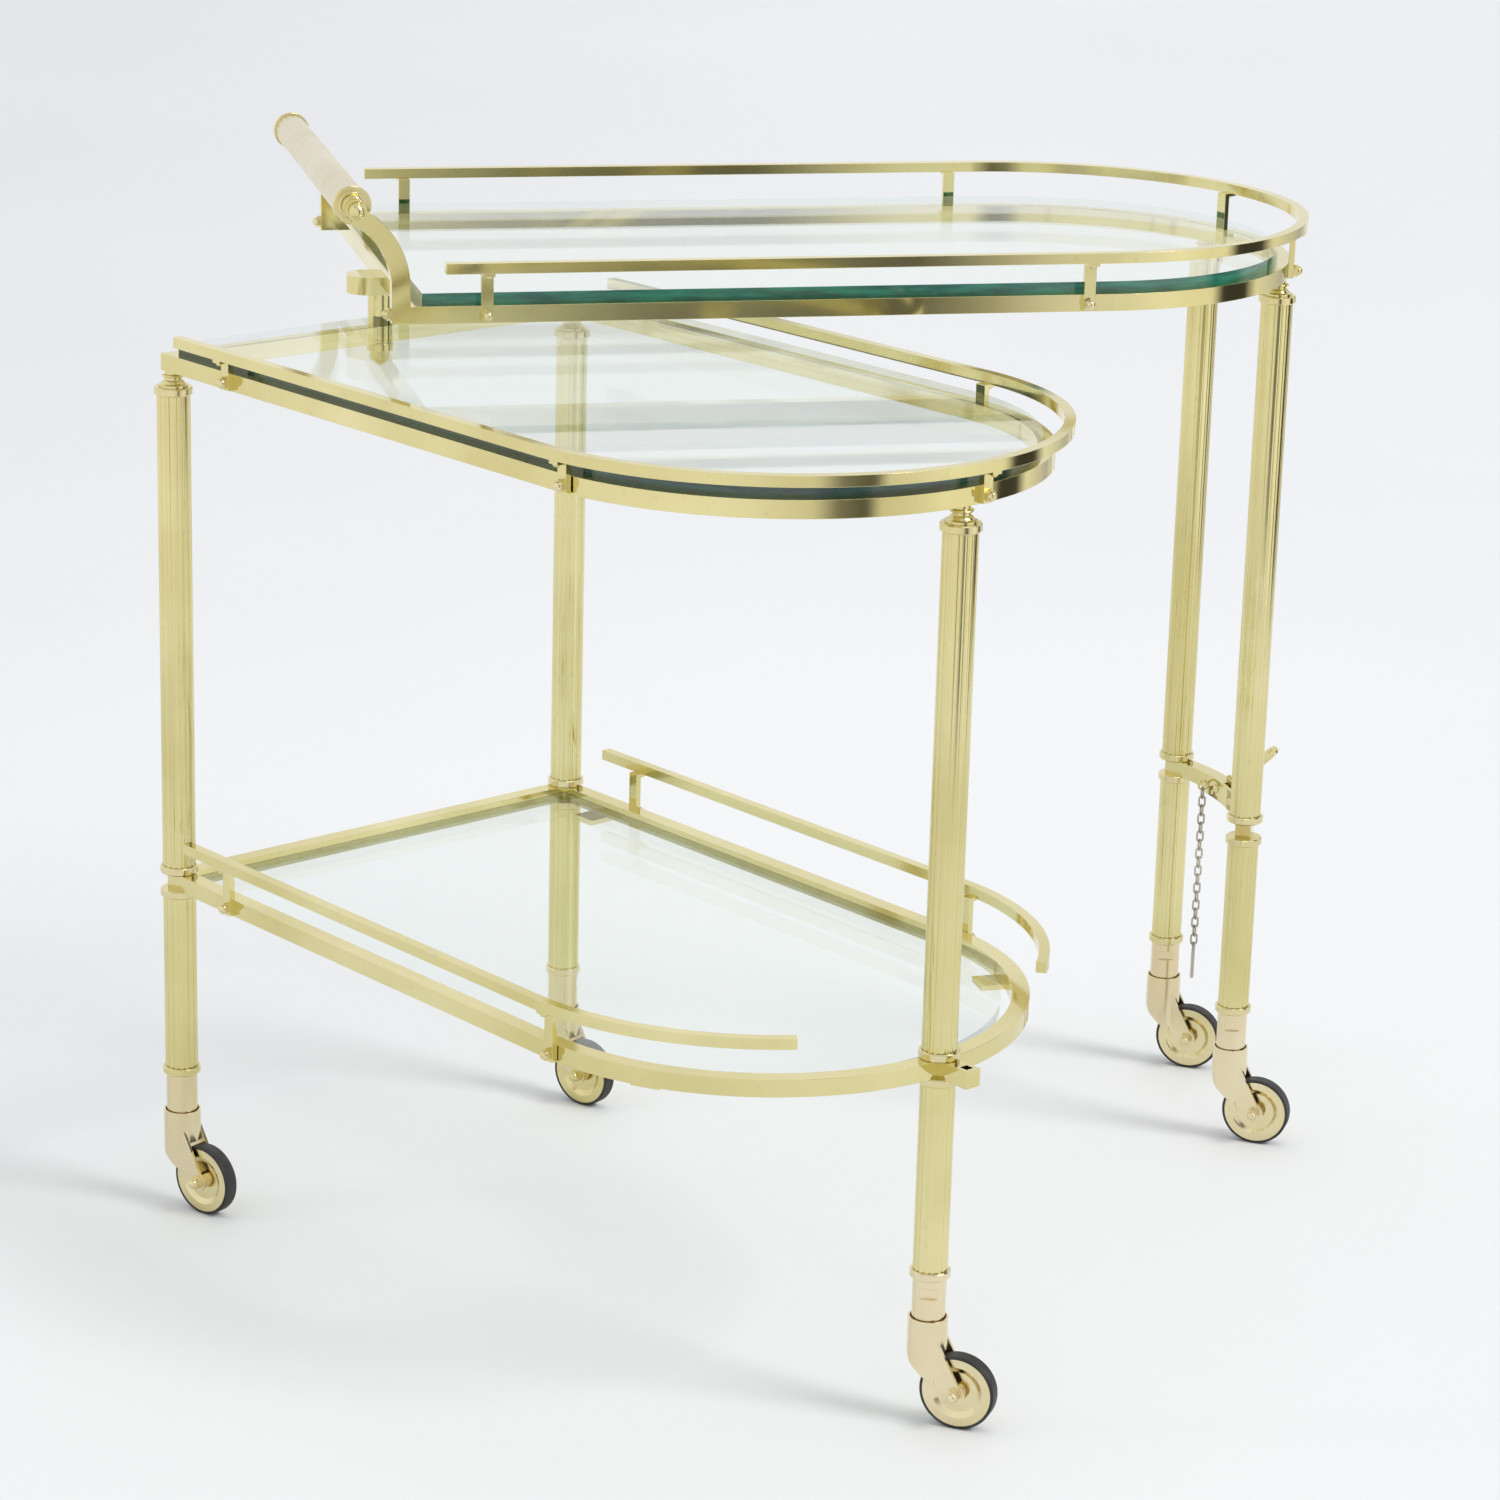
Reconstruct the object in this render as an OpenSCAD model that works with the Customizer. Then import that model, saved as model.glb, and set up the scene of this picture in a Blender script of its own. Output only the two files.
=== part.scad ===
// Rolling bar cart: a fixed base with two glass shelves, and a longer glass tray that swings out
// on a pivot at one end and rolls on two legs of its own. Millimetres, +Z up, floor at Z = 0.

/* [Trays] */
// Outside width of every frame
frame_w = 400; // [380:2:420]
// Straight length of the two base frames, before their round end
base_straight = 468; // [455:1:480]
// Straight length of the swinging tray, before its round end
tray_straight = 540; // [530:1:560]
// Side of the square bar that the frames are bent from
bar = 13; // [12:0.5:14]
// Thickness of the glass
glass_t = 8; // [6:0.5:9]
// Step from a frame's outer face to the edge of the glass on top of it
glass_step = 9.6; // [8:0.2:11]

/* [Heights] */
// Underside of the bottom shelf's frame
shelf_z = 266.5; // [240:0.5:290]
// Underside of the middle frame
middle_z = 677; // [670:0.5:684]
// Underside of the swinging tray's frame
tray_z = 730.5; // [726:0.5:738]
// Underside of the bottom shelf's rail, above its frame's underside
shelf_rise = 40; // [32:1:50]
// Underside of the middle rail, above its frame's underside
middle_rise = 24.5; // [23:0.5:27]
// Underside of the tray's rail, above its frame's underside
tray_rise = 39; // [34:1:44]

/* [Rails] */
// Side of the square gallery rail
rail = 8; // [7:0.5:10]
// Gap between a frame's outer face and its rail
rail_gap = 5; // [4.8:0.1:6]

/* [Legs] */
// Outside diameter of the fluted tubes
leg_d = 25.4; // [24.4:0.1:26]
// Wall of the fluted tubes
leg_wall = 2; // [1.6:0.1:3]
// Number of flutes round a tube
flute_count = 16; // [12:1:20]
// How deep each flute is cut
flute_depth = 0.5; // [0.3:0.1:1]
// Diameter of the tie rod inside each leg
rod_d = 8; // [6:0.5:8]
// Angle from the tray's middle line to each of its two legs
leg_spread = 27.5; // [26:0.5:29]

/* [Swing] */
// How far the tray is swung out from the base
open_angle = 61.7; // [0:0.1:180]

/* [Casters] */
// Diameter over the tyre
wheel_d = 56; // [52:1:58]
// Width of the tyre
tyre_w = 12; // [10:0.5:12.5]
// Distance from the swivel axis to the axle
trail = 25; // [23:0.5:26]
// Heading of the two corner casters
corner_heading = 12; // [0:1:20]
// Heading of the caster at the base's round end
tip_heading = 28; // [26:1:34]
// Heading of the two casters under the tray
tray_heading = 30; // [26:1:34]

/* [Handle] */
// Height of the grip's axis
grip_z = 815; // [812:1:818]
// Distance of the grip's axis beyond the tray's square end
grip_out = 40; // [38:1:42]
// Length of the grip
grip_l = 344; // [330:2:348]

/* [Hidden] */
$fn = 64;

half_w = frame_w / 2;
fit = 0.05;                       // radial running clearance of a shaft in its hole
mid_r = half_w - bar / 2;         // radius of the bar's middle line round an end
post_x = bar / 2;                 // the pivot's axis, from the square end
cart_centre = [255.3, 240.7];     // middle of the cart's footprint, from the base's square end

// Legs: the stack of tubes and collars, from the floor up
flute_r = 2.2;                    // radius of a flute's hollow
collar_d = leg_d + 4.1;
collar_h = 6;
collar_web = 2;
foot_z = 113;                     // underside of the lowest collar
finial_h = 12;
base_cap_z = middle_z - finial_h; // top of the upper collars of the base
tray_cap_z = tray_z - finial_h;
rod_bottom_z = 91;
rod_bite = 9.5;                   // how far a tie rod goes into the top frame
shelf_top_z = shelf_z + bar;

base_legs = [[post_x, -mid_r], [post_x, mid_r], [base_straight + mid_r, 0]];
base_windows = [150, 60, -45];    // where the window of each base leg's socket faces
tray_legs = [for (side = [1, -1])
    [tray_straight + mid_r * cos(leg_spread), side * mid_r * sin(leg_spread)]];

// Casters
hood_d = 29;
hood_top_z = 82;
web_top_z = 74;
web_z = 69;
stem_r = 4.95;
socket_r = 12.2;
axle_z = wheel_d / 2;
axle_r = 3;
cheek_in = 8;                     // inner face of a fork's cheek, from its middle
cheek_out = 10.5;
tyre_t = 2.2;
rim_r = wheel_d / 2 - tyre_t;

// Rail posts, as distances along a side and angles round an end
post_w = 9;
post_t = 4.5;
foot_t = 2.5;
foot_l = 12;
foot_hole_x = 9;
screw_r = 1.9;
foot_screw_r = 1.4;
middle_side_posts = [[90, -1], [485, -1], [90, 1], [472, 1]];
middle_end_posts = [4];
shelf_side_posts = [[86, -1], [479, -1], [86, 1], [479, 1]];
tray_side_posts = [[56, -1], [519, -1], [56, 1], [519, 1]];
tray_end_posts = [-25, 25];
middle_rail_start = 36;
shelf_rail_start = 40;
tray_rail_start = 24;
shelf_rail_front_end = 34;        // angles at which the shelf's rails stop round the end
shelf_rail_back_end = 37;

// Pivot
sleeve_r = 9.5;
bolt_r = 4.75;
plate_r = 17.3;
plate_t = 7;
plate_out = 9;                    // centre of the plates' round end, beyond the pivot's axis
plates_z = tray_z - 2 * plate_t;

// Latch
latch_r = half_w - bar;           // inner face of the crossbar
bracket_t = 2.5;
hinge_x = tray_straight + mid_r + 0.5;
hinge_z = shelf_top_z + 4;
hasp_l = 46;
hasp_w = 14;
hasp_t = 2.5;
hasp_hole = 39.5;
hasp_rest = 40;                   // tilt of the open hasp above level
stub_hole = 28;                   // from the tip leg's axis
stub_end = 35;
bracket_screw_a = 5.6;
ring_centre = [tray_straight + 177.2, 33, shelf_z + 5.5];
ring_r = 4;
ring_wire = 0.9;
link_wire = 0.8;
link_gap = 0.25;
link_half = 4.8;                  // half the length of a link's wire loop
link_bend = 2.6;                  // radius of its round ends
link_count = 18;
link_pitch = 2 * link_half - 2 * link_wire - link_gap;
first_link_z = ring_centre[2] - ring_r + ring_wire + link_wire + link_gap - link_half;
last_link_z = first_link_z - (link_count - 1) * link_pitch;
pin_eye_z = last_link_z - link_half + 2 * link_wire + link_gap - link_bend;
pin_tip_z = 98;

// Handle arms bend round a centre beyond the tray's square end
arm_w = 14;
arm_t = 9;
arm_straight_z = 757;
arm_bend = 60;
arm_sweep = 64;

brass = "#d9bd6a";
steel = "#9a9a98";
clear = "#a9cfc4";
rubber = "#2b2b2d";

// ---------- Places ----------

module on_base() translate([-cart_centre[0], -cart_centre[1], 0]) children();

module on_tray()
    on_base() translate([post_x, 0, 0]) rotate([0, 0, open_angle]) translate([-post_x, 0, 0])
        children();

module at_base_legs() on_base() for (p = base_legs) translate([p[0], p[1], 0]) children();

module at_tray_legs() on_tray() for (p = tray_legs) translate([p[0], p[1], 0]) children();

// On a side's outer face, with +X pointing outwards
module at_side(x, side) translate([x, side * half_w, 0]) rotate([0, 0, side * 90]) children();

// On the round end's outer face, with +X pointing outwards
module at_end(straight, a) translate([straight, 0, 0]) rotate([0, 0, a])
    translate([half_w, 0, 0]) children();

module at_posts(straight, sides, ends) {
    for (p = sides) at_side(p[0], p[1]) children();
    for (a = ends) at_end(straight, a) children();
}

// ---------- Frames, glass and rails ----------

// Straight sides and a round end, set in from the frame's outside
module outline(straight, inset) {
    translate([inset, -half_w + inset]) square([straight - inset, frame_w - 2 * inset]);
    translate([straight, 0]) circle(half_w - inset, $fn = 180);
}

module frame(straight, z, sides, ends) difference() {
    translate([0, 0, z]) linear_extrude(bar) difference() {
        outline(straight, 0);
        outline(straight, bar);
    }
    at_posts(straight, sides, ends) translate([-8, 0, z + bar / 2]) rotate([0, 90, 0])
        cylinder(h = 9, r = screw_r + fit);
}

module rod_holes(legs, z, h) for (p = legs) translate([p[0], p[1], z]) cylinder(h = h, d = rod_d + 0.1);

module glass(straight, z, inset) translate([0, 0, z]) linear_extrude(glass_t) outline(straight, inset);

// A gallery rail from start along the sides to end_a round the end; side 0 is both sides
module gallery(straight, z, start, end_a, side) difference() {
    translate([0, 0, z]) {
        for (s = side == 0 ? [-1, 1] : [side])
            translate([start, s * (half_w + rail_gap + rail / 2) - rail / 2, 0])
                cube([straight - start, rail, rail]);
        a0 = side > 0 ? end_a : -90;
        a1 = side < 0 ? -end_a : 90;
        translate([straight, 0, 0]) rotate([0, 0, a0]) rotate_extrude(angle = a1 - a0, $fn = 180)
            translate([half_w + rail_gap, 0]) square(rail);
    }
    children();
}

module foot_screw_holes(straight, z, sides, ends)
    at_posts(straight, sides, ends) translate([foot_hole_x, 0, z - 1])
        cylinder(h = 6, r = foot_screw_r + fit);

// A flat upright against the frame, with a foot turned out under the rail
module post(z, rise) difference() {
    union() {
        translate([0, -post_w / 2, z + 1]) cube([post_t, post_w, rise - 1]);
        translate([0, -post_w / 2, z + rise - foot_t]) cube([foot_l, post_w, foot_t]);
    }
    translate([-1, 0, z + bar / 2]) rotate([0, 90, 0]) cylinder(h = post_t + 2, r = screw_r + fit);
    translate([foot_hole_x, 0, z + rise - foot_t - 1]) cylinder(h = foot_t + 2, r = foot_screw_r + fit);
}

// An acorn-headed screw along +X: head outside the origin, shank inside it
module acorn_screw(r, shank) {
    translate([-shank, 0, 0]) rotate([0, 90, 0]) cylinder(h = shank + 1, r = r);
    rotate([0, 90, 0]) cylinder(h = 3.2, r = 4.7, $fn = 6);
    translate([3, 0, 0]) difference() {
        sphere(r = 3.7);
        translate([-5, -5, -5]) cube([5, 10, 10]);
    }
}

module post_screws(z, rise) {
    translate([post_t, 0, z + bar / 2]) acorn_screw(screw_r, 11);
    translate([foot_hole_x, 0, z + rise - foot_t]) {
        cylinder(h = foot_t + 4, r = foot_screw_r);
        difference() {
            translate([0, 0, 0.6]) sphere(r = 3);
            translate([-5, -5, 0]) cube(10);
        }
    }
}

// ---------- Legs ----------

module fluted_tube(z0, z1) translate([0, 0, z0]) linear_extrude(z1 - z0) difference() {
    circle(d = leg_d);
    circle(d = leg_d - 2 * leg_wall);
    for (i = [0:flute_count - 1]) rotate(i * 360 / flute_count)
        translate([leg_d / 2 + flute_r - flute_depth, 0]) circle(flute_r);
}

// A turned cup that takes a tube's end; its web is at the bottom
module collar(z) translate([0, 0, z]) rotate_extrude() polygon([
    [rod_d / 2 + fit, 0], [collar_d / 2 - 0.8, 0], [collar_d / 2, 0.8],
    [collar_d / 2, collar_h - 0.8], [collar_d / 2 - 0.8, collar_h],
    [leg_d / 2 + 0.1, collar_h], [leg_d / 2 + 0.1, collar_web], [rod_d / 2 + fit, collar_web]
]);

module collar_down(z) translate([0, 0, z]) mirror([0, 0, 1]) collar(0);

module leg_collars(cap_z) {
    collar(foot_z);
    collar_down(shelf_z);
    collar(shelf_top_z);
    collar_down(cap_z);
}

// The turned piece between the top collar and the frame, in one with the tie rod
module finial(cap_z) rotate_extrude() translate([0, cap_z]) polygon([
    [0, rod_bottom_z - cap_z], [rod_d / 2, rod_bottom_z - cap_z], [rod_d / 2, 0], [11.4, 0],
    [11.4, 1.8], [9.4, 2.6], [8.2, 4.2], [6.8, 5.4], [6.4, 7], [8.3, 7.6], [8.8, 8.4],
    [8.3, 9.2], [6.2, 9.8], [6.2, finial_h], [rod_d / 2, finial_h],
    [rod_d / 2, finial_h + rod_bite], [0, finial_h + rod_bite]
]);

// The plain foot of a leg, with the stem that its caster turns on
module caster_socket(window_a) difference() {
    rotate_extrude() polygon([
        [0, web_z - 2.5], [7, web_z - 2.5], [7, web_z - 0.3], [stem_r, web_z - 0.3],
        [stem_r, hood_top_z - 3], [socket_r, hood_top_z - 3], [socket_r, foot_z],
        [rod_d / 2 + fit, foot_z], [rod_d / 2 + fit, rod_bottom_z - 1], [0, rod_bottom_z - 1]
    ]);
    rotate([0, 0, window_a]) translate([socket_r - 2.6, -6.5, foot_z - 14.5]) cube([4, 13, 8]);
}

// ---------- Casters ----------

// A caster's frame: +X is the way it trails, and the axle is at [trail, 0, axle_z]
module caster_at(leg, heading, tray = false) {
    if (tray) on_tray() translate([leg[0], leg[1], 0]) rotate([0, 0, heading - open_angle]) children();
    else on_base() translate([leg[0], leg[1], 0]) rotate([0, 0, heading]) children();
}

module across_axle() translate([trail, 0, axle_z]) rotate([90, 0, 0]) children();

module hood_side() polygon([
    [-hood_d / 2, hood_top_z], [hood_d / 2, hood_top_z], [hood_d / 2, 60], [trail + 2.5, axle_z + 7.2],
    [trail - 7.5, axle_z - 1.3], [-9.5, 49], [-12.8, 54.5], [-hood_d / 2, 62]
]);

module cheek_side() polygon([
    [-9.5, 69.9], [9.3, 69.9], [trail + 2.5, axle_z + 7.2], [trail - 7.5, axle_z - 1.3], [-9.5, 49]
]);

module fork() difference() {
    union() {
        intersection() {
            cylinder(h = hood_top_z, d = hood_d);
            translate([0, 20, 0]) rotate([90, 0, 0]) linear_extrude(40) hood_side();
        }
        for (z = [-cheek_out, cheek_in]) {
            translate([0, -z, 0]) rotate([90, 0, 0]) linear_extrude(cheek_out - cheek_in) cheek_side();
            across_axle() translate([0, 0, z]) cylinder(h = cheek_out - cheek_in, r = 7.6);
        }
    }
    translate([0, 0, web_top_z]) cylinder(h = 20, r = socket_r + 1);
    translate([0, 0, web_z - 1]) cylinder(h = 10, r = stem_r + fit);
    intersection() {
        cylinder(h = web_z, r = 12);
        translate([-20, -cheek_in, 0]) cube([40, 2 * cheek_in, web_z]);
    }
    across_axle() translate([0, 0, -cheek_in]) cylinder(h = 2 * cheek_in, r = wheel_d / 2 + 3);
    across_axle() translate([0, 0, -20]) cylinder(h = 40, r = axle_r + fit);
}

// Bolt with its head on the far cheek; washer and domed nut on the near one
module axle() across_axle() {
    translate([0, 0, -cheek_out]) cylinder(h = 2 * cheek_out + 4, r = axle_r);
    translate([0, 0, -cheek_out - 4]) cylinder(h = 4, r = 5.4, $fn = 6);
    translate([0, 0, cheek_out]) difference() {
        cylinder(h = 1.2, r = 5.8);
        translate([0, 0, -1]) cylinder(h = 4, r = axle_r + fit);
    }
    translate([0, 0, cheek_out + 1.2]) difference() {
        union() {
            cylinder(h = 3.6, r = 5, $fn = 6);
            translate([0, 0, 3]) sphere(r = 3.9);
        }
        translate([0, 0, -5]) cube(10, center = true);
        translate([0, 0, -1]) cylinder(h = 4, r = axle_r + fit);
    }
}

// A pressed disc: hub, flat web, sloping step and a flat rim on each face
module wheel() across_axle() rotate_extrude($fn = 96) polygon([
    [axle_r + fit, -7.7], [6, -7.7], [6, -3.2], [15.6, -3.2], [18.6, -5.2], [19.6, -5.7],
    [rim_r, -5.7], [rim_r, 5.7], [19.6, 5.7], [18.6, 5.2], [15.6, 3.2], [6, 3.2], [6, 7.7],
    [axle_r + fit, 7.7]
]);

module tyre() across_axle() rotate_extrude($fn = 96) polygon([
    [rim_r, -tyre_w / 2], [wheel_d / 2 - 1, -tyre_w / 2], [wheel_d / 2 - 0.3, -tyre_w / 2 + 0.5],
    [wheel_d / 2, -tyre_w / 2 + 1.4], [wheel_d / 2, tyre_w / 2 - 1.4],
    [wheel_d / 2 - 0.3, tyre_w / 2 - 0.5], [wheel_d / 2 - 1, tyre_w / 2], [rim_r, tyre_w / 2]
]);

// ---------- Base ----------

module base_upper_tubes() color(brass) at_base_legs()
    fluted_tube(shelf_top_z + collar_web, base_cap_z - collar_web);

module base_lower_tubes() color(brass) at_base_legs()
    fluted_tube(foot_z + collar_web, shelf_z - collar_web);

module base_collars() color(brass) at_base_legs() leg_collars(base_cap_z);

module base_finials() color(brass) at_base_legs() finial(base_cap_z);

module base_caster_sockets() color(brass) on_base() for (i = [0:2])
    translate([base_legs[i][0], base_legs[i][1], 0]) caster_socket(base_windows[i]);

module middle_frame() color(brass) on_base() difference() {
    frame(base_straight, middle_z, middle_side_posts, middle_end_posts);
    rod_holes(base_legs, middle_z - 1, rod_bite + 1.5);
    translate([post_x, 0, middle_z - 1]) cylinder(h = bar + 2, r = sleeve_r);
}

module middle_glass() color(clear, 0.4) on_base() difference() {
    glass(base_straight, middle_z + bar, glass_step);
    translate([post_x, 0, middle_z]) cylinder(h = 50, r = sleeve_r + 1);
}

module middle_rail() color(brass) on_base()
    gallery(base_straight, middle_z + middle_rise, middle_rail_start, 0, 0)
        foot_screw_holes(base_straight, middle_z + middle_rise, middle_side_posts, middle_end_posts);

module middle_rail_posts() color(brass) on_base()
    at_posts(base_straight, middle_side_posts, middle_end_posts) post(middle_z, middle_rise);

module shelf_frame() color(brass) on_base() difference() {
    frame(base_straight, shelf_z, shelf_side_posts, []);
    rod_holes(base_legs, shelf_z - 1, bar + 2);
}

// The shelf's glass lies inside its frame and stops short of the round end
module shelf_glass() color(clear, 0.4) on_base() glass(base_straight - 10, shelf_z, bar + 1);

// Flat tabs under the frame, reaching in beneath the glass
module shelf_glass_tabs() color(brass) on_base() {
    for (s = [-1, 1]) translate([57 - 11, s * (half_w - 18) - 11, shelf_z - 4]) cube([22, 22, 4]);
    for (a = [-65, 65]) translate([base_straight, 0, 0]) rotate([0, 0, a])
        translate([half_w - 29, -11, shelf_z - 4]) cube([22, 22, 4]);
}

module shelf_rail_front() color(brass) on_base()
    gallery(base_straight, shelf_z + shelf_rise, shelf_rail_start, shelf_rail_front_end, -1)
        foot_screw_holes(base_straight, shelf_z + shelf_rise, shelf_side_posts, []);

module shelf_rail_back() color(brass) on_base()
    gallery(base_straight, shelf_z + shelf_rise, shelf_rail_start, shelf_rail_back_end, 1)
        foot_screw_holes(base_straight, shelf_z + shelf_rise, shelf_side_posts, []);

module shelf_rail_posts() color(brass) on_base()
    at_posts(base_straight, shelf_side_posts, []) post(shelf_z, shelf_rise);

module base_acorn_screws() color(brass) on_base() {
    at_posts(base_straight, middle_side_posts, middle_end_posts) post_screws(middle_z, middle_rise);
    at_posts(base_straight, shelf_side_posts, []) post_screws(shelf_z, shelf_rise);
}

// A short bar welded to the shelf's frame below the tip leg, with a square hole for the lock pin
module latch_stub() color(brass) on_base() translate([0, 0, shelf_z]) linear_extrude(bar) difference() {
    translate([base_straight + mid_r, -bar / 2]) square([stub_end, bar]);
    translate([base_straight, 0]) circle(half_w, $fn = 180);
    translate([base_straight + mid_r + stub_hole, 0]) square(7, center = true);
}

module pivot_sleeve() color(brass) on_base() translate([post_x, 0, middle_z]) difference() {
    cylinder(h = plates_z - middle_z - 0.3, r = sleeve_r);
    translate([0, 0, -1]) cylinder(h = 60, r = bolt_r + fit);
}

// ---------- Swinging tray ----------

module tray_upper_tubes() color(brass) at_tray_legs()
    fluted_tube(shelf_top_z + collar_web, tray_cap_z - collar_web);

module tray_lower_tubes() color(brass) at_tray_legs()
    fluted_tube(foot_z + collar_web, shelf_z - collar_web);

module tray_collars() color(brass) at_tray_legs() leg_collars(tray_cap_z);

module tray_finials() color(brass) at_tray_legs() finial(tray_cap_z);

module tray_caster_sockets() color(brass) at_tray_legs() caster_socket(-106);

module tray_frame() color(brass) on_tray() difference() {
    frame(tray_straight, tray_z, tray_side_posts, tray_end_posts);
    rod_holes(tray_legs, tray_z - 1, rod_bite + 1.5);
    for (s = [-1, 1]) translate([-1, s * mid_r, tray_z + bar / 2]) rotate([0, 90, 0])
        cylinder(h = 9, r = screw_r + fit);
}

module tray_glass() color(clear, 0.4) on_tray() glass(tray_straight, tray_z + bar, glass_step);

module tray_rail() color(brass) on_tray()
    gallery(tray_straight, tray_z + tray_rise, tray_rail_start, 0, 0)
        foot_screw_holes(tray_straight, tray_z + tray_rise, tray_side_posts, tray_end_posts);

module tray_rail_posts() color(brass) on_tray()
    at_posts(tray_straight, tray_side_posts, tray_end_posts) post(tray_z, tray_rise);

module tray_acorn_screws() color(brass) on_tray() {
    at_posts(tray_straight, tray_side_posts, tray_end_posts) post_screws(tray_z, tray_rise);
    for (s = [-1, 1]) translate([-arm_w, s * mid_r, tray_z + bar / 2]) rotate([0, 0, 180])
        acorn_screw(screw_r, arm_w + 6);
}

// Two stacked plates under the tray's square end; the upper one houses the bolt's head
module pivot_plates() color(brass) on_tray() for (i = [0, 1])
    translate([post_x, 0, plates_z + i * plate_t]) difference() {
        linear_extrude(plate_t) {
            translate([-plate_out, 0]) circle(plate_r);
            translate([-plate_out, -plate_r]) square([plate_out + 12, 2 * plate_r]);
        }
        translate([0, 0, -1]) cylinder(h = plate_t + 2, r = bolt_r + fit);
        if (i == 1) translate([0, 0, -1]) cylinder(h = 5, r = 8.2);
    }

module pivot_bolt() color(brass) on_tray() translate([post_x, 0, 0]) rotate_extrude() polygon([
    [0, middle_z - 13], [bolt_r, middle_z - 13], [bolt_r, plates_z + plate_t],
    [8, plates_z + plate_t], [8, plates_z + plate_t + 3.5], [0, plates_z + plate_t + 3.5]
]);

module pivot_nut() color(brass) on_tray() translate([post_x, 0, middle_z - 0.3]) mirror([0, 0, 1]) {
    difference() {
        cylinder(h = 6, r = 10.5);
        translate([0, 0, -1]) cylinder(h = 9, r = bolt_r + fit);
    }
    translate([0, 0, 6]) difference() {
        union() {
            cylinder(h = 7, r = 7.6, $fn = 6);
            translate([0, 0, 6]) sphere(r = 6.5);
        }
        translate([0, 0, -10]) cube(20, center = true);
        translate([0, 0, -1]) cylinder(h = 8.5, r = bolt_r + fit);
    }
}

module round_bar(r_in, t, z, h, half_a) translate([tray_straight, 0, z]) rotate([0, 0, -half_a])
    rotate_extrude(angle = 2 * half_a, $fn = 180) translate([r_in, 0]) square([t, h]);

// Joins the two tray legs at shelf height, following the tray's round end
module tray_crossbar() color(brass) on_tray() difference() {
    round_bar(latch_r, bar, shelf_z, bar, leg_spread + 2);
    rod_holes(tray_legs, shelf_z - 1, bar + 2);
    for (s = [-1, 1]) translate([tray_straight, 0, shelf_z + bar / 2]) rotate([0, 0, s * bracket_screw_a])
        translate([latch_r - 1, 0, 0]) rotate([0, 90, 0]) cylinder(h = 9, r = 1.65);
}

// Plate on the crossbar's inner face, with two hinge knuckles on top and a ring for the chain
module latch_bracket() color(brass) on_tray() {
    difference() {
        union() {
            translate([tray_straight, 0, shelf_z - 2.5]) rotate([0, 0, -9.2])
                rotate_extrude(angle = 20.4, $fn = 180)
                    translate([latch_r - bracket_t, 0]) square([bracket_t, bar + 4.5]);
            for (s = [-1, 1]) {
                translate([tray_straight + latch_r - 2, s * 11.3 - 3, shelf_top_z]) cube([9, 6, 2]);
                translate([hinge_x, s * 11.3 + 3, hinge_z]) rotate([90, 0, 0]) cylinder(h = 6, r = 3);
                translate([hinge_x - 2.4, s * 11.3 - 3, shelf_top_z]) cube([4.8, 6, 3]);
            }
        }
        translate([hinge_x, 20, hinge_z]) rotate([90, 0, 0]) cylinder(h = 40, r = 1.55);
        for (s = [-1, 1]) translate([tray_straight, 0, shelf_z + bar / 2])
            rotate([0, 0, s * bracket_screw_a]) translate([latch_r - 5, 0, 0]) rotate([0, 90, 0])
                cylinder(h = 9, r = 1.65);
    }
    translate(ring_centre) rotate([90, 0, 0]) rotate_extrude($fn = 32)
        translate([ring_r, 0]) circle(ring_wire, $fn = 24);
}

module latch_fasteners() color(brass) on_tray() {
    translate([hinge_x, 15.3, hinge_z]) rotate([90, 0, 0]) cylinder(h = 30.6, r = 1.5);
    for (s = [-1, 1]) translate([tray_straight, 0, shelf_z + bar / 2]) rotate([0, 0, s * bracket_screw_a])
        translate([latch_r - bracket_t, 0, 0]) {
            rotate([0, 90, 0]) cylinder(h = bracket_t + 7, r = 1.6);
            difference() {
                translate([1.8, 0, 0]) sphere(r = 4.3);
                translate([-0.06, -5, -5]) cube(10);
            }
        }
}

module handle_grip() color(brass) on_tray() translate([-grip_out, grip_l / 2, grip_z])
    rotate([90, 0, 0]) fluted_tube(0, grip_l);

// A stepped turned cap and stud at each end of the grip, with a ball nut outside the arm
module handle_end_caps() color(brass) on_tray() for (s = [-1, 1])
    translate([-grip_out, s * grip_l / 2, grip_z]) rotate([-s * 90, 0, 0]) {
        rotate_extrude() polygon([
            [0, -12], [leg_d / 2 - leg_wall, -12], [leg_d / 2 - leg_wall, 0], [13.6, 0],
            [14.3, 0.8], [14.3, 3.4], [13.6, 4.2], [10.4, 4.2], [10.4, 7.4], [9.8, 8.2], [7.6, 8.2],
            [7.6, 11.4], [5.6, 13], [5.6, mid_r - grip_l / 2 - arm_t / 2],
            [3, mid_r - grip_l / 2 - arm_t / 2], [3, mid_r - grip_l / 2 + arm_t / 2 + 4],
            [0, mid_r - grip_l / 2 + arm_t / 2 + 4]
        ]);
        translate([0, 0, mid_r - grip_l / 2 + arm_t / 2]) difference() {
            translate([0, 0, 4.6]) sphere(r = 6);
            translate([0, 0, -10]) cube(20, center = true);
            translate([0, 0, -1]) cylinder(h = 5.5, r = 3 + fit);
        }
    }

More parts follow.
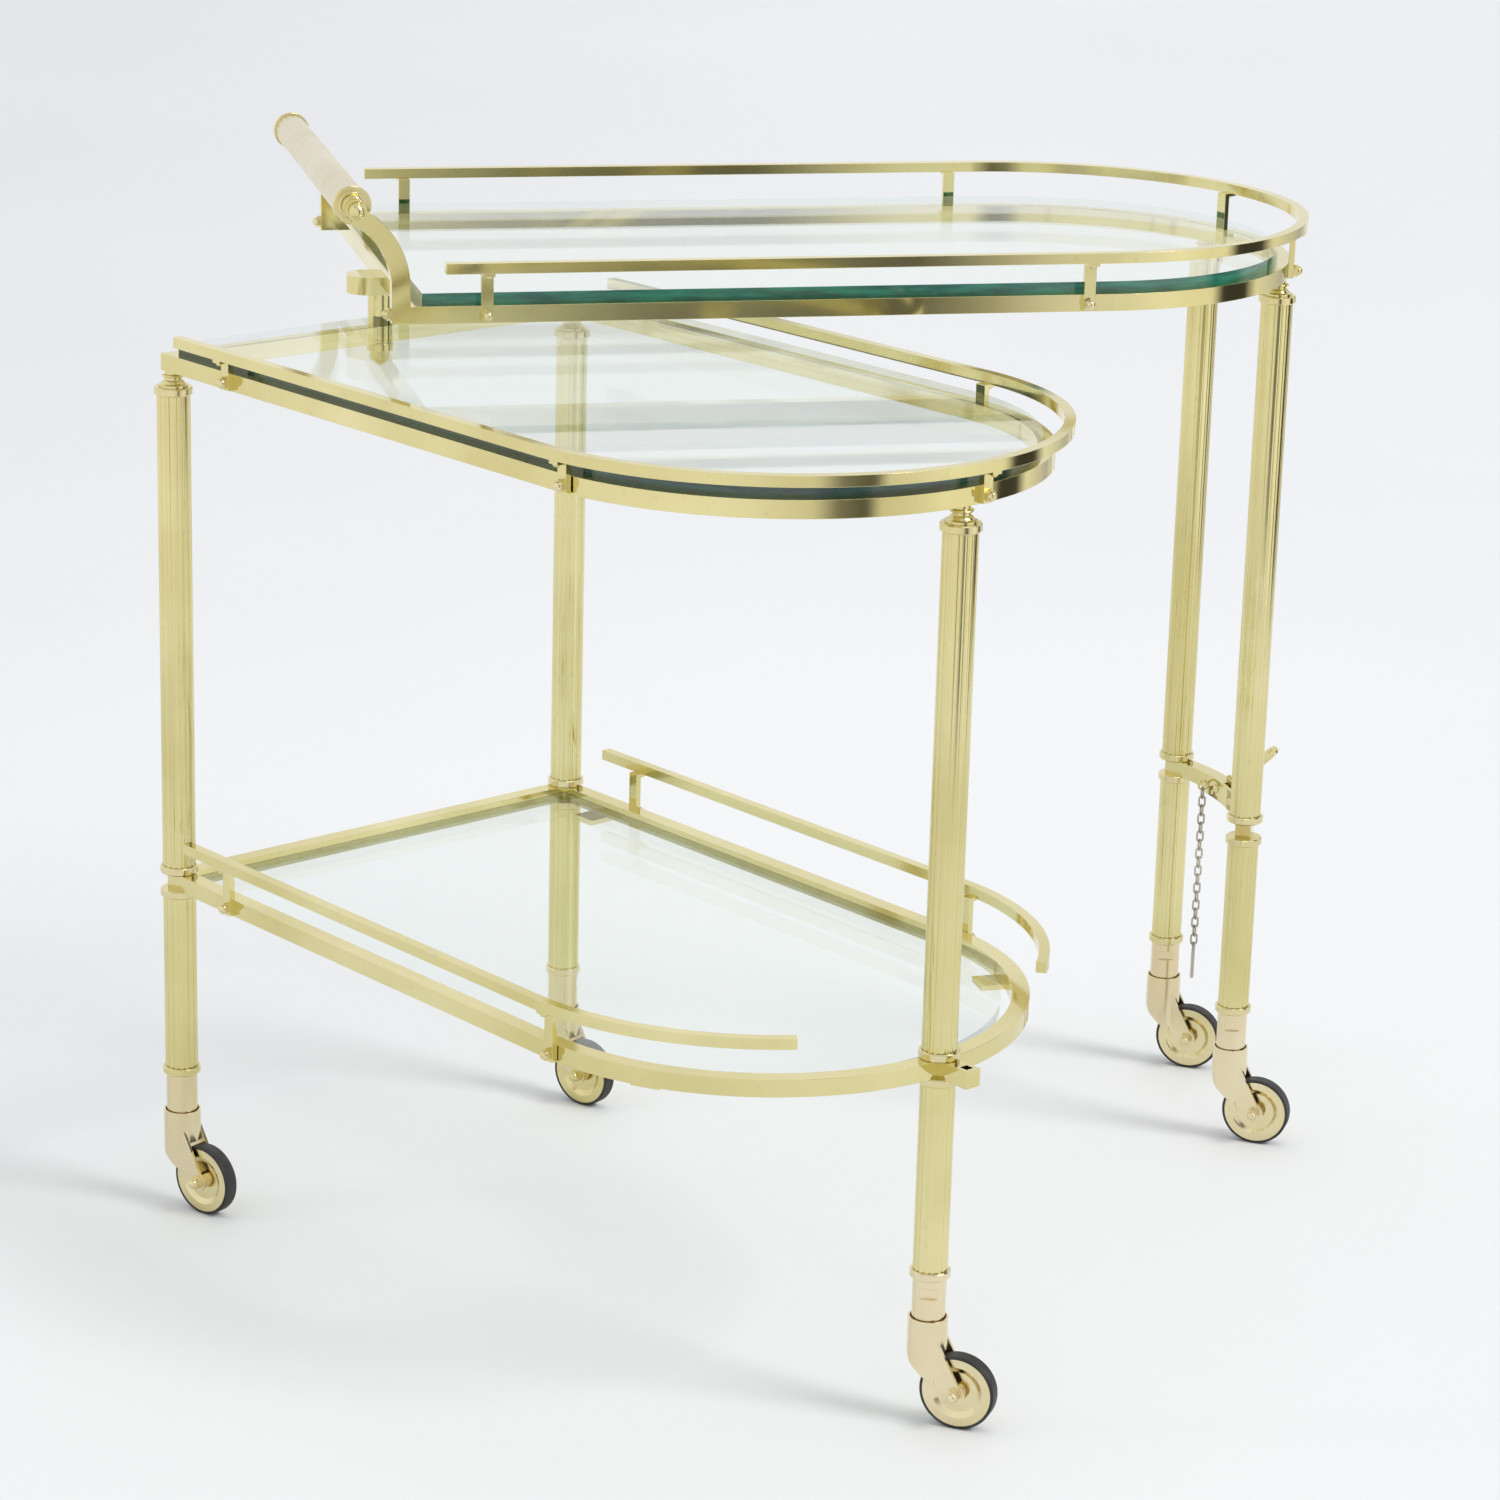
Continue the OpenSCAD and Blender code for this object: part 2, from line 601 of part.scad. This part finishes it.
// Bars bolted to the tray's square end, upright at the foot and bent out to the grip
module handle_arms() color(brass) on_tray() for (s = [-1, 1]) translate([0, s * mid_r, 0]) difference() {
    union() {
        translate([-arm_w, -arm_t / 2, tray_z]) cube([arm_w, arm_t, arm_straight_z - tray_z]);
        translate([-arm_w / 2 - arm_bend, 0, arm_straight_z]) rotate([90, 0, 0])
            translate([0, 0, -arm_t / 2]) rotate_extrude(angle = arm_sweep, $fn = 128)
                translate([arm_bend - arm_w / 2, 0]) square([arm_w, arm_t]);
        translate([-grip_out, arm_t / 2, grip_z]) rotate([90, 0, 0]) cylinder(h = arm_t, r = 8);
    }
    translate([-grip_out, 20, grip_z]) rotate([90, 0, 0]) cylinder(h = 40, r = 3 + fit);
    translate([-arm_w - 1, 0, tray_z + bar / 2]) rotate([0, 90, 0])
        cylinder(h = arm_w + 2, r = screw_r + fit);
}

// ---------- Latch ----------

module latch_hasp() color(brass) on_tray() translate([hinge_x, 0, hinge_z]) rotate([0, -hasp_rest, 0])
    difference() {
        union() {
            translate([0, 7.6, 0]) rotate([90, 0, 0]) cylinder(h = 15.2, r = 3);
            translate([0, -hasp_w / 2, -hasp_t / 2]) cube([hasp_l - hasp_w / 2, hasp_w, hasp_t]);
            translate([hasp_l - hasp_w / 2, 0, -hasp_t / 2]) cylinder(h = hasp_t, d = hasp_w);
        }
        translate([0, 10, 0]) rotate([90, 0, 0]) cylinder(h = 20, r = 1.55);
        translate([hasp_hole, 0, -5]) cylinder(h = 10, r = 2.2);
    }

// A wire loop with round ends, standing in the Y-Z plane
module link() rotate([90, 0, 90]) for (s = [0, 180]) rotate([0, 0, s]) {
    translate([0, link_half - link_bend, 0]) rotate_extrude(angle = 180, $fn = 32)
        translate([link_bend, 0]) circle(link_wire, $fn = 16);
    translate([link_bend, 0, 0]) rotate([90, 0, 0])
        cylinder(h = 2 * (link_half - link_bend), r = link_wire, center = true, $fn = 16);
}

module at_ring() on_tray() translate([ring_centre[0], ring_centre[1], 0]) children();

module latch_chain() color(steel) at_ring() for (i = [0:link_count - 1])
    translate([0, 0, first_link_z - i * link_pitch]) rotate([0, 0, 90 * (i % 2)]) link();

module latch_pin() color(steel) at_ring() {
    translate([0, 0, pin_eye_z]) rotate([90, 0, 90]) rotate_extrude($fn = 32)
        translate([link_bend, 0]) circle(link_wire, $fn = 16);
    rotate_extrude() polygon([
        [0, pin_tip_z], [0.9, pin_tip_z], [1.5, pin_tip_z + 1.4], [1.5, pin_eye_z - link_bend - 0.6],
        [0, pin_eye_z - link_bend]
    ]);
}

// ---------- Casters by leg ----------

module caster_a() caster_at(base_legs[0], corner_heading) children();
module caster_b() caster_at(base_legs[1], corner_heading) children();
module caster_c() caster_at(base_legs[2], tip_heading) children();
module caster_d() caster_at(tray_legs[0], tray_heading, true) children();
module caster_e() caster_at(tray_legs[1], tray_heading, true) children();

base_upper_tubes();
base_lower_tubes();
base_collars();
base_finials();
base_caster_sockets();
middle_frame();
middle_glass();
middle_rail();
middle_rail_posts();
shelf_frame();
shelf_glass();
shelf_glass_tabs();
shelf_rail_front();
shelf_rail_back();
shelf_rail_posts();
base_acorn_screws();
latch_stub();
pivot_sleeve();
tray_upper_tubes();
tray_lower_tubes();
tray_collars();
tray_finials();
tray_caster_sockets();
tray_frame();
tray_glass();
tray_rail();
tray_rail_posts();
tray_acorn_screws();
pivot_plates();
pivot_bolt();
pivot_nut();
tray_crossbar();
latch_bracket();
latch_fasteners();
handle_grip();
handle_end_caps();
handle_arms();
latch_hasp();
latch_chain();
latch_pin();
caster_a() color(brass) fork();  // caster_a_fork
caster_a() color(brass) axle();  // caster_a_axle
caster_a() color(brass) wheel();  // caster_a_wheel
caster_a() color(rubber) tyre();  // caster_a_tyre
caster_b() color(brass) fork();  // caster_b_fork
caster_b() color(brass) axle();  // caster_b_axle
caster_b() color(brass) wheel();  // caster_b_wheel
caster_b() color(rubber) tyre();  // caster_b_tyre
caster_c() color(brass) fork();  // caster_c_fork
caster_c() color(brass) axle();  // caster_c_axle
caster_c() color(brass) wheel();  // caster_c_wheel
caster_c() color(rubber) tyre();  // caster_c_tyre
caster_d() color(brass) fork();  // caster_d_fork
caster_d() color(brass) axle();  // caster_d_axle
caster_d() color(brass) wheel();  // caster_d_wheel
caster_d() color(rubber) tyre();  // caster_d_tyre
caster_e() color(brass) fork();  // caster_e_fork
caster_e() color(brass) axle();  // caster_e_axle
caster_e() color(brass) wheel();  // caster_e_wheel
caster_e() color(rubber) tyre();  // caster_e_tyre
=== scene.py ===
"""Looks for the swing-top bar cart: brass, glass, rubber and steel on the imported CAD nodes."""
import math

import bpy
from mathutils import Matrix, Vector


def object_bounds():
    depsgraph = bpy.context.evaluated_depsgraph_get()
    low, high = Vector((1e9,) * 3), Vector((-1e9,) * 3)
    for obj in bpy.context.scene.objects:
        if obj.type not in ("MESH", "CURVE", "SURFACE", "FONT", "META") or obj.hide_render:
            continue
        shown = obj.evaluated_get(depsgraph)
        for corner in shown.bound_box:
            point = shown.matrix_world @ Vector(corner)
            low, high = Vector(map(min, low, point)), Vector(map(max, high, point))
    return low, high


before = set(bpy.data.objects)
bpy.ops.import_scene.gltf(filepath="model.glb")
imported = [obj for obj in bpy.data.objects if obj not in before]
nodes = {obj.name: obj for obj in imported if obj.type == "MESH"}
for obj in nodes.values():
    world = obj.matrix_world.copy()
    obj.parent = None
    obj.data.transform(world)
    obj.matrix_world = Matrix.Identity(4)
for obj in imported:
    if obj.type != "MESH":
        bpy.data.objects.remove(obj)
cad_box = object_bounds()


# ---------- Camera ----------

def aim(yaw, pitch, roll):
    """A camera's rotation: yaw from +Y, pitch above the horizon and roll, in degrees."""
    yaw, pitch, roll = (math.radians(angle) for angle in (yaw, pitch, roll))
    forward = Vector((math.sin(yaw) * math.cos(pitch), math.cos(yaw) * math.cos(pitch), math.sin(pitch)))
    level = Vector((math.cos(yaw), -math.sin(yaw), 0))
    rise = level.cross(forward)
    right = level * math.cos(roll) + rise * math.sin(roll)
    up = rise * math.cos(roll) - level * math.sin(roll)
    return Matrix((right, up, -forward)).transposed()


CAMERA_PLACE = (2.4710, -2.2674, 1.3748)
CAMERA_AIM = aim(yaw=-48.36, pitch=-17.19, roll=1.55)

camera_data = bpy.data.cameras.new("camera")
camera_data.sensor_width = 36
camera_data.lens = 105.57
camera_data.shift_x = 0.0047
camera_data.shift_y = 0.0176
camera_data.clip_end = 200
camera = bpy.data.objects.new("camera", camera_data)
camera.matrix_world = Matrix.Translation(CAMERA_PLACE) @ CAMERA_AIM.to_4x4()
bpy.context.collection.objects.link(camera)
bpy.context.scene.camera = camera


# ---------- Node helpers ----------

class Nodes:
    """A material's or world's node tree, with short calls for the nodes used here."""

    def __init__(self, owner):
        owner.use_nodes = True
        self.tree = owner.node_tree
        self.tree.nodes.clear()

    def add(self, kind, settings=None, **inputs):
        node = self.tree.nodes.new("ShaderNode" + kind)
        for name, value in (settings or {}).items():
            setattr(node, name, value)
        for name, value in inputs.items():
            self.put(node, name.replace("_", " "), value)
        return node

    def put(self, node, name, value):
        """Sets an input by name or index, from a constant or from another node's output."""
        socket = node.inputs[name]
        if isinstance(value, bpy.types.NodeSocket):
            self.tree.links.new(value, socket)
        else:
            socket.default_value = value

    def math(self, operation, first, second=0.0, clamp=False):
        node = self.add("Math", {"operation": operation, "use_clamp": clamp})
        self.put(node, 0, first)
        self.put(node, 1, second)
        return node.outputs[0]

    def mix_colour(self, share, first, second):
        node = self.add("Mix", {"data_type": "RGBA"})
        self.put(node, 0, share)
        self.put(node, 6, first)
        self.put(node, 7, second)
        return node.outputs[2]

    def mix_value(self, share, first, second):
        node = self.add("Mix", {"data_type": "FLOAT"})
        self.put(node, 0, share)
        self.put(node, 2, first)
        self.put(node, 3, second)
        return node.outputs[0]

    def mix_shader(self, share, first, second):
        node = self.add("MixShader")
        for index, item in enumerate((share, first, second)):
            self.put(node, index, item)
        return node.outputs[0]

    def fit(self, value, low, high, out_low=0, out_high=1):
        """Maps low..high to out_low..out_high and stays inside it."""
        node = self.add("MapRange")
        for index, item in enumerate((value, low, high, out_low, out_high)):
            self.put(node, index, item)
        return node.outputs[0]

    def noise(self, scale, detail=3.0, stretch=(1, 1, 1)):
        """Noise in the CAD frame: scale is features per metre, stretch scales each axis."""
        place = self.add("TexCoord").outputs["Object"]
        mapped = self.add("Mapping", Vector=place, Scale=stretch).outputs[0]
        return self.add("TexNoise", Vector=mapped, Scale=scale, Detail=detail).outputs["Fac"]

    def output(self, shader, kind="OutputMaterial"):
        self.tree.links.new(shader, self.add(kind).inputs["Surface"])


def rgba(red, green, blue):
    return (red, green, blue, 1.0)


# ---------- Metals ----------

BRASS_LIGHT = (0.81, 0.74, 0.40)
BRASS_DEEP = (0.68, 0.60, 0.27)
CREAM_LIGHT = (0.84, 0.74, 0.51)
CREAM_DEEP = (0.74, 0.62, 0.38)
GRIP_LIGHT = (0.78, 0.73, 0.57)
GRIP_DEEP = (0.69, 0.63, 0.45)
STEEL_LIGHT = (0.66, 0.62, 0.53)
STEEL_DEEP = (0.34, 0.30, 0.24)
TARNISH_SHADE = 0.72
# Painted edge highlight: how much lighter the edges' colour is than the light tone.
EDGE_HIGHLIGHT_GAIN = 1.12
ALONG_Y = (1, 0.02, 1)
ALONG_Z = (1, 1, 0.02)
ROUND_Z = (0.1, 0.1, 1)
SMALL_EDGE = 0.0003


def metal(name, light, deep, roughness, grain=(1, 1, 1), scratch=0.05, edge=0.0006):
    """Polished metal: drifting tone, cloudy polish, hairlines along the grain and a painted highlight on
    its edges.
    """
    material = bpy.data.materials.new(name)
    n = Nodes(material)
    tone = n.fit(n.noise(7, 4), 0.35, 0.68)
    colour = n.mix_colour(tone, rgba(*deep), rgba(*light))
    specks = n.fit(n.noise(160, 5), 0.62, 0.74, 0, 0.22)
    tarnish = (part * TARNISH_SHADE for part in deep)
    colour = n.mix_colour(specks, colour, rgba(*tarnish))
    rounded = n.add("Bevel", {"samples": 4}, Radius=edge).outputs[0]
    turn = n.add("VectorMath", {"operation": "DOT_PRODUCT"})
    n.put(turn, 0, rounded)
    n.put(turn, 1, n.add("NewGeometry").outputs["Normal"])
    # Painted highlight: the colour is lightened where the bevelled normal turns away from the true
    # normal, at the edges.
    edge_highlight_share = n.fit(turn.outputs["Value"], 0.99, 0.9, 0, 0.6)
    painted_edge_highlight = (min(1.0, part * EDGE_HIGHLIGHT_GAIN) for part in light)
    colour = n.mix_colour(edge_highlight_share, colour, rgba(*painted_edge_highlight))
    hairlines = n.noise(900, 2, grain)
    polish = n.fit(n.noise(34, 4), 0.3, 0.7, roughness * 0.8, roughness * 1.35)
    polish = n.math("ADD", polish, n.math("MULTIPLY", hairlines, roughness * 0.35))
    bump = n.add("Bump", Strength=scratch, Distance=0.0002, Height=hairlines, Normal=rounded)
    shader = n.add("BsdfPrincipled", Base_Color=colour, Roughness=polish, Normal=bump.outputs[0])
    shader.inputs["Metallic"].default_value = 1.0
    n.output(shader.outputs[0])
    return material


bar_brass = metal("bar_brass", BRASS_LIGHT, BRASS_DEEP, roughness=0.07, scratch=0.03)
tube_brass = metal("tube_brass", BRASS_LIGHT, BRASS_DEEP, 0.11, ALONG_Z, 0.06, SMALL_EDGE)
turned_brass = metal("turned_brass", CREAM_LIGHT, BRASS_DEEP, 0.13, ROUND_Z, 0.06, SMALL_EDGE)
hood_brass = metal("hood_brass", CREAM_LIGHT, CREAM_DEEP, 0.14, (0.2, 0.2, 1), scratch=0.08)
grip_brass = metal("grip_brass", GRIP_LIGHT, GRIP_DEEP, 0.26, ALONG_Y, 0.16, SMALL_EDGE)
wheel_brass = metal("wheel_brass", CREAM_LIGHT, BRASS_DEEP, roughness=0.12, scratch=0.08)
screw_brass = metal("screw_brass", CREAM_LIGHT, BRASS_DEEP, roughness=0.14, edge=SMALL_EDGE)
chain_steel = metal("chain_steel", STEEL_LIGHT, STEEL_DEEP, 0.17, (1, 1, 0.2), 0.1, edge=0.0002)


# ---------- Glass and rubber ----------

def glass(name, edge_light, edge_deep, edge_share):
    """Clear plate: its flat faces mirror a little and let the rest through, and its edges show colour."""
    material = bpy.data.materials.new(name)
    n = Nodes(material)
    geometry = n.add("NewGeometry")
    upright = n.add("SeparateXYZ", Vector=geometry.outputs["True Normal"]).outputs["Z"]
    flat = n.math("GREATER_THAN", n.math("ABSOLUTE", upright), 0.7)
    streak = n.fit(n.noise(26, 3, (1, 1, 8)), 0.35, 0.65)
    edge = n.mix_colour(streak, rgba(*edge_deep), rgba(*edge_light))
    colour = n.mix_colour(flat, edge, rgba(0.93, 0.97, 0.95))
    smear = n.fit(n.noise(9, 5), 0.4, 0.75, 0.0, 0.05)
    slant = n.math("POWER", n.add("LayerWeight", Blend=0.5).outputs["Facing"], 5.0)
    face_share = n.math("ADD", n.fit(slant, 0, 1, 0.04, 0.75), smear, clamp=True)
    rim_share = n.fit(geometry.outputs["Backfacing"], 0, 1, edge_share, 0.1)
    share = n.mix_value(flat, rim_share, face_share)
    roughness = n.fit(n.noise(14, 4), 0.35, 0.7, 0.015, 0.06)
    body = n.add("BsdfPrincipled", Base_Color=colour, Metallic=flat, Roughness=roughness)
    body.inputs["Coat Weight"].default_value = 0.6
    clear = n.add("BsdfTransparent", Color=rgba(0.975, 0.992, 0.984))
    n.output(n.mix_shader(share, clear.outputs[0], body.outputs[0]))
    return material


def rubber(name):
    """Black moulded rubber with a fine matt tooth and patches of dust."""
    material = bpy.data.materials.new(name)
    n = Nodes(material)
    dust = n.fit(n.noise(60, 5), 0.45, 0.7)
    colour = n.mix_colour(dust, rgba(0.012, 0.011, 0.011), rgba(0.035, 0.032, 0.030))
    tooth = n.noise(2200, 3)
    roughness = n.fit(n.noise(45, 4), 0.3, 0.7, 0.42, 0.62)
    bump = n.add("Bump", Strength=0.25, Distance=0.0002, Height=tooth)
    shader = n.add("BsdfPrincipled", Base_Color=colour, Roughness=roughness, Normal=bump.outputs[0])
    n.output(shader.outputs[0])
    return material


tray_glass = glass("tray_glass", (0.02, 0.26, 0.18), (0.005, 0.11, 0.085), 0.97)
middle_glass = glass("middle_glass", (0.012, 0.08, 0.065), (0.003, 0.025, 0.024), 0.97)
shelf_glass = glass("shelf_glass", (0.42, 0.50, 0.44), (0.26, 0.35, 0.30), 0.5)
black_rubber = rubber("black_rubber")


# ---------- Which node has which material ----------

MATERIALS = {
    "tray_glass": tray_glass,
    "middle_glass": middle_glass,
    "shelf_glass": shelf_glass,
    "handle_grip": grip_brass,
    "latch_chain": chain_steel,
    "latch_pin": chain_steel,
}
MATERIALS_BY_ENDING = {
    "_tubes": tube_brass,
    "_collars": turned_brass,
    "_finials": turned_brass,
    "_caps": turned_brass,
    "_sockets": hood_brass,
    "_fork": hood_brass,
    "_wheel": wheel_brass,
    "_tyre": black_rubber,
    "_axle": screw_brass,
    "_screws": screw_brass,
    "_fasteners": screw_brass,
}


def material_for(name):
    for ending, material in MATERIALS_BY_ENDING.items():
        if name.endswith(ending):
            return material
    return MATERIALS.get(name, bar_brass)


for name, node in nodes.items():
    node.data.materials.clear()
    node.data.materials.append(material_for(name))


# ---------- Floor, screen and lights ----------

FLOOR_WIDTH = 80.0
SCREEN_RADIUS = 1.9
SCREEN_HEIGHT = 2.6
SCREEN_STOPS = [                      # direction in degrees from +X, brightness
    (-180, 0.90), (-150, 0.95), (-116, 0.95), (-70, 1.0), (-48, 0.95), (-30, 0.85), (-22, 0.25),
    (-12, 0.12), (-7, 0.85), (20, 1.1), (42, 1.05), (48, 0.05), (62, 0.06), (70, 1.0), (96, 0.55),
    (108, 0.92), (130, 0.95), (165, 0.95),
]


def staged(name, points, faces, material):
    """A studio mesh that stands on the cart's floor and isn't part of the cart."""
    mesh = bpy.data.meshes.new(name)
    mesh.from_pydata(points, [], faces)
    mesh.materials.append(material)
    made = bpy.data.objects.new(name, mesh)
    made.location.z = cad_box[0].z
    bpy.context.collection.objects.link(made)
    return made


def floor_material():
    """Pale floor with painted shade that darkens it softly towards the left of the picture."""
    material = bpy.data.materials.new("pale_floor")
    n = Nodes(material)
    drift = n.fit(n.noise(0.8, 3), 0.3, 0.7)
    colour = n.mix_colour(drift, rgba(0.81, 0.82, 0.83), rgba(0.84, 0.845, 0.85))
    place = n.add("SeparateXYZ", Vector=n.add("TexCoord").outputs["Object"])
    along_x = n.math("MULTIPLY", place.outputs["X"], 0.66)
    along_y = n.math("MULTIPLY", place.outputs["Y"], 0.75)
    # Painted shade: the floor's colour darkens towards the left, standing in for the key light's falloff.
    painted_shade = n.fit(n.math("ADD", along_x, along_y), -1.4, 0.3, 0.45, 0)
    colour = n.mix_colour(painted_shade, colour, rgba(0.68, 0.69, 0.70))
    shader = n.add("BsdfPrincipled", Base_Color=colour)
    shader.inputs["Roughness"].default_value = 0.7
    shader.inputs["Specular IOR Level"].default_value = 0.2
    n.output(shader.outputs[0])
    return material


def floor():
    reach = FLOOR_WIDTH / 2
    corners = [(-reach, -reach, 0), (reach, -reach, 0), (reach, reach, 0), (-reach, reach, 0)]
    staged("floor", corners, [(0, 1, 2, 3)], floor_material())


def screen_material(stops):
    """The studio as the cart's polish mirrors it: pale walls with dark gaps, by direction."""
    material = bpy.data.materials.new("studio_screen")
    n = Nodes(material)
    place = n.add("SeparateXYZ", Vector=n.add("TexCoord").outputs["Object"])
    turn = n.math("ARCTAN2", place.outputs["Y"], place.outputs["X"])
    ramp = n.add("ValToRGB", Fac=n.fit(turn, -math.pi, math.pi))
    while len(ramp.color_ramp.elements) < len(stops):
        ramp.color_ramp.elements.new(0.5)
    for element, (degrees, level) in zip(ramp.color_ramp.elements, stops):
        element.position = (degrees + 180) / 360
        element.color = rgba(level, level, level)
    glow = n.add("Emission", Color=ramp.outputs[0], Strength=1.0)
    lift = n.fit(place.outputs["Z"], 0.03, 0.12)
    n.output(n.mix_shader(lift, n.add("BsdfTransparent").outputs[0], glow.outputs[0]))
    return material


def screen(sides=96):
    """An open ring of wall that only mirror-like surfaces see."""
    turns = [math.tau * k / sides for k in range(sides)]
    ring = [(SCREEN_RADIUS * math.cos(turn), SCREEN_RADIUS * math.sin(turn)) for turn in turns]
    points = [(x, y, z) for z in (0, SCREEN_HEIGHT) for x, y in ring]
    walls = [(k, (k + 1) % sides, (k + 1) % sides + sides, k + sides) for k in range(sides)]
    made = staged("studio_screen", points, walls, screen_material(SCREEN_STOPS))
    made.visible_camera = False
    made.visible_diffuse = False
    made.visible_shadow = False
    made.visible_transmission = False


def lamp(name, kind, place, direction, **settings):
    """A light that shines along direction; the settings are fields of its data."""
    data = bpy.data.lights.new(name, kind)
    for field, value in settings.items():
        setattr(data, field, value)
    made = bpy.data.objects.new(name, data)
    made.location = place
    made.rotation_euler = Vector(direction).to_track_quat("-Z", "Y").to_euler()
    bpy.context.collection.objects.link(made)


def softbox(name, place, width, height, power):
    """A rectangular lamp aimed at the middle of the cart."""
    middle = (cad_box[0] + cad_box[1]) / 2
    lamp(name, "AREA", place, middle - Vector(place), shape="RECTANGLE", size=width, size_y=height,
         energy=power)


floor()
screen()
lamp("key_light", "SUN", (0, 0, 0), (-0.75, -0.35, -0.80), energy=1.3, angle=math.radians(20))
softbox("top_light", (0.2, 0.4, 3.4), width=2.4, height=1.2, power=9)
softbox("side_light", (-1.6, -2.6, 1.7), width=0.5, height=2.0, power=6)

world = bpy.data.worlds.new("world")
world_nodes = Nodes(world)
sky = world_nodes.add("Background", Color=rgba(0.97, 0.98, 1.0), Strength=0.77)
world_nodes.output(sky.outputs[0], "OutputWorld")
bpy.context.scene.world = world
bpy.context.scene.view_settings.view_transform = "Standard"
